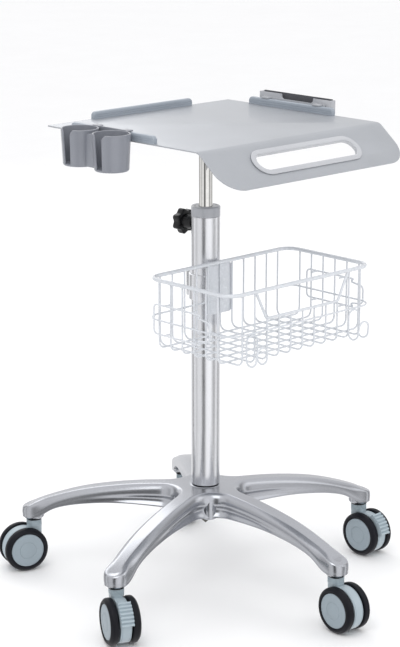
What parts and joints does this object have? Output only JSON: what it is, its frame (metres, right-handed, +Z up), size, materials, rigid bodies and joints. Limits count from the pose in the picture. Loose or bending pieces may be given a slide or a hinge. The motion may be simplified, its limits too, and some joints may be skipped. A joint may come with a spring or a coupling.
{
  "type": "rolling laboratory trolley",
  "caption": "Height-adjustable rolling trolley: star caster base, telescopic mast, tray with sloped handle panel, wire basket, cup holder and side pocket.",
  "frame": {"origin": "bottom centre of the bounding box, on the floor", "axes": "+Z up along the column, -Y towards the sloped handle panel and the open side of the basket, +X to the right of a person facing +Y"},
  "size_m": [0.6306, 0.6332, 0.7916],
  "materials": {
    "base_cast": "polished die casting, soft reflections",
    "column_silver": "satin silver",
    "zinc_steel": "zinc plated",
    "mast_chrome": "bright chrome plating",
    "nylon": "natural nylon",
    "pale_plastic": "light grey, fine satin",
    "black_plastic": "fine satin black",
    "caster_grey": "pale blue-grey, semi-gloss",
    "tyre": "dark grey polyurethane tread",
    "tray_silver": "fine metallic silver powder coat",
    "rail_grey": "pale blue-grey, ribbed",
    "cup_grey": "mid grey, semi-gloss",
    "wire_white": "white epoxy coat, gloss",
    "liner_dark": "dark felted foam"
  },
  "bodies": {
    "base": {"star_base": "base_cast", "hub_washer": "zinc_steel", "hub_bolt": "zinc_steel", "column_spigot": "zinc_steel", "outer_column": "column_silver", "guide_bush": "nylon", "column_collar": "pale_plastic", "collar_screw_left": "zinc_steel", "collar_screw_right": "zinc_steel", "caster_front_stem": "black_plastic", "caster_right_stem": "black_plastic", "caster_back_stem": "black_plastic", "caster_rear_left_stem": "black_plastic", "caster_left_stem": "black_plastic", "basket_front": "wire_white", "basket_back": "wire_white", "basket_left": "wire_white", "basket_right": "wire_white", "basket_floor": "wire_white", "basket_hook_left": "wire_white", "basket_hook_right": "wire_white", "basket_frame_left": "wire_white", "basket_frame_right": "wire_white", "basket_plate": "pale_plastic", "basket_clamp": "column_silver"},
    "glide": {"glide_ring": "nylon"},
    "mast": {"inner_tube": "mast_chrome", "mast_flange": "zinc_steel", "tray": "tray_silver", "handle_bezel": "pale_plastic", "rear_rail": "rail_grey", "left_rail": "rail_grey", "right_rail": "rail_grey", "cup_holder": "cup_grey", "side_pocket": "pale_plastic", "pocket_liner": "liner_dark"},
    "knob": {"clamp_knob": "black_plastic", "knob_stud": "zinc_steel"},
    "caster_front_fork": {"caster_front_housing": "caster_grey", "caster_front_axle": "zinc_steel"},
    "caster_front_roller_left": {"caster_front_wheel_left": "tyre"},
    "caster_front_roller_right": {"caster_front_wheel_right": "tyre"},
    "caster_right_fork": {"caster_right_housing": "caster_grey", "caster_right_axle": "zinc_steel"},
    "caster_right_roller_left": {"caster_right_wheel_left": "tyre"},
    "caster_right_roller_right": {"caster_right_wheel_right": "tyre"},
    "caster_right_brake": {"caster_right_brake_pedal": "caster_grey"},
    "caster_back_fork": {"caster_back_housing": "caster_grey", "caster_back_axle": "zinc_steel"},
    "caster_back_roller_left": {"caster_back_wheel_left": "tyre"},
    "caster_back_roller_right": {"caster_back_wheel_right": "tyre"},
    "caster_rear_left_fork": {"caster_rear_left_housing": "caster_grey", "caster_rear_left_axle": "zinc_steel"},
    "caster_rear_left_roller_left": {"caster_rear_left_wheel_left": "tyre"},
    "caster_rear_left_roller_right": {"caster_rear_left_wheel_right": "tyre"},
    "caster_left_fork": {"caster_left_housing": "caster_grey", "caster_left_axle": "zinc_steel"},
    "caster_left_roller_left": {"caster_left_wheel_left": "tyre"},
    "caster_left_roller_right": {"caster_left_wheel_right": "tyre"},
    "caster_left_brake": {"caster_left_brake_pedal": "caster_grey"}
  },
  "joints": [
    {"name": "mast_height", "type": "slide", "parent": "base", "child": "glide", "axis": [0, 0, 1], "range_m": [-0.1, 0.2]},
    {"name": "mast_swivel", "type": "hinge", "parent": "glide", "child": "mast", "pos_m": [0.00972, 0.03706, 0.345], "axis": [0, 0, 1], "continuous": true},
    {"name": "knob_turn", "type": "hinge", "parent": "base", "child": "knob", "pos_m": [0.00972, 0.08806, 0.602], "axis": [0, 1, 0], "range_deg": [0, 360]},
    {"name": "caster_front_swivel", "type": "hinge", "parent": "base", "child": "caster_front_fork", "pos_m": [0.00972, -0.25794, 0.07], "axis": [0, 0, 1], "continuous": true},
    {"name": "caster_front_spin_left", "type": "hinge", "parent": "caster_front_fork", "child": "caster_front_roller_left", "pos_m": [0.00798, -0.27786, 0.03718], "axis": [0.9962, -0.0872, 0], "continuous": true},
    {"name": "caster_front_spin_right", "type": "hinge", "parent": "caster_front_fork", "child": "caster_front_roller_right", "pos_m": [0.00798, -0.27786, 0.03718], "axis": [0.9962, -0.0872, 0], "continuous": true},
    {"name": "caster_right_swivel", "type": "hinge", "parent": "base", "child": "caster_right_fork", "pos_m": [0.29029, -0.0541, 0.07], "axis": [0, 0, 1], "continuous": true},
    {"name": "caster_right_spin_left", "type": "hinge", "parent": "caster_right_fork", "child": "caster_right_roller_left", "pos_m": [0.29029, -0.0741, 0.03718], "axis": [1, 0, 0], "continuous": true},
    {"name": "caster_right_spin_right", "type": "hinge", "parent": "caster_right_fork", "child": "caster_right_roller_right", "pos_m": [0.29029, -0.0741, 0.03718], "axis": [1, 0, 0], "continuous": true},
    {"name": "caster_right_brake", "type": "hinge", "parent": "caster_right_fork", "child": "caster_right_brake", "pos_m": [0.29029, -0.0741, 0.03718], "axis": [1, 0, 0], "range_deg": [0, 12]},
    {"name": "caster_back_swivel", "type": "hinge", "parent": "base", "child": "caster_back_fork", "pos_m": [0.18312, 0.27572, 0.07], "axis": [0, 0, 1], "continuous": true},
    {"name": "caster_back_spin_left", "type": "hinge", "parent": "caster_back_fork", "child": "caster_back_roller_left", "pos_m": [0.16923, 0.26133, 0.03718], "axis": [0.7193, -0.6947, 0], "continuous": true},
    {"name": "caster_back_spin_right", "type": "hinge", "parent": "caster_back_fork", "child": "caster_back_roller_right", "pos_m": [0.16923, 0.26133, 0.03718], "axis": [0.7193, -0.6947, 0], "continuous": true},
    {"name": "caster_rear_left_swivel", "type": "hinge", "parent": "base", "child": "caster_rear_left_fork", "pos_m": [-0.16367, 0.27572, 0.07], "axis": [0, 0, 1], "continuous": true},
    {"name": "caster_rear_left_spin_left", "type": "hinge", "parent": "caster_rear_left_fork", "child": "caster_rear_left_roller_left", "pos_m": [-0.18247, 0.28256, 0.03718], "axis": [-0.342, -0.9397, 0], "continuous": true},
    {"name": "caster_rear_left_spin_right", "type": "hinge", "parent": "caster_rear_left_fork", "child": "caster_rear_left_roller_right", "pos_m": [-0.18247, 0.28256, 0.03718], "axis": [-0.342, -0.9397, 0], "continuous": true},
    {"name": "caster_left_swivel", "type": "hinge", "parent": "base", "child": "caster_left_fork", "pos_m": [-0.27084, -0.0541, 0.07], "axis": [0, 0, 1], "continuous": true},
    {"name": "caster_left_spin_left", "type": "hinge", "parent": "caster_left_fork", "child": "caster_left_roller_left", "pos_m": [-0.27929, -0.07222, 0.03718], "axis": [0.9063, -0.4226, 0], "continuous": true},
    {"name": "caster_left_spin_right", "type": "hinge", "parent": "caster_left_fork", "child": "caster_left_roller_right", "pos_m": [-0.27929, -0.07222, 0.03718], "axis": [0.9063, -0.4226, 0], "continuous": true},
    {"name": "caster_left_brake", "type": "hinge", "parent": "caster_left_fork", "child": "caster_left_brake", "pos_m": [-0.27929, -0.07222, 0.03718], "axis": [0.9063, -0.4226, 0], "range_deg": [0, 12]}
  ]
}
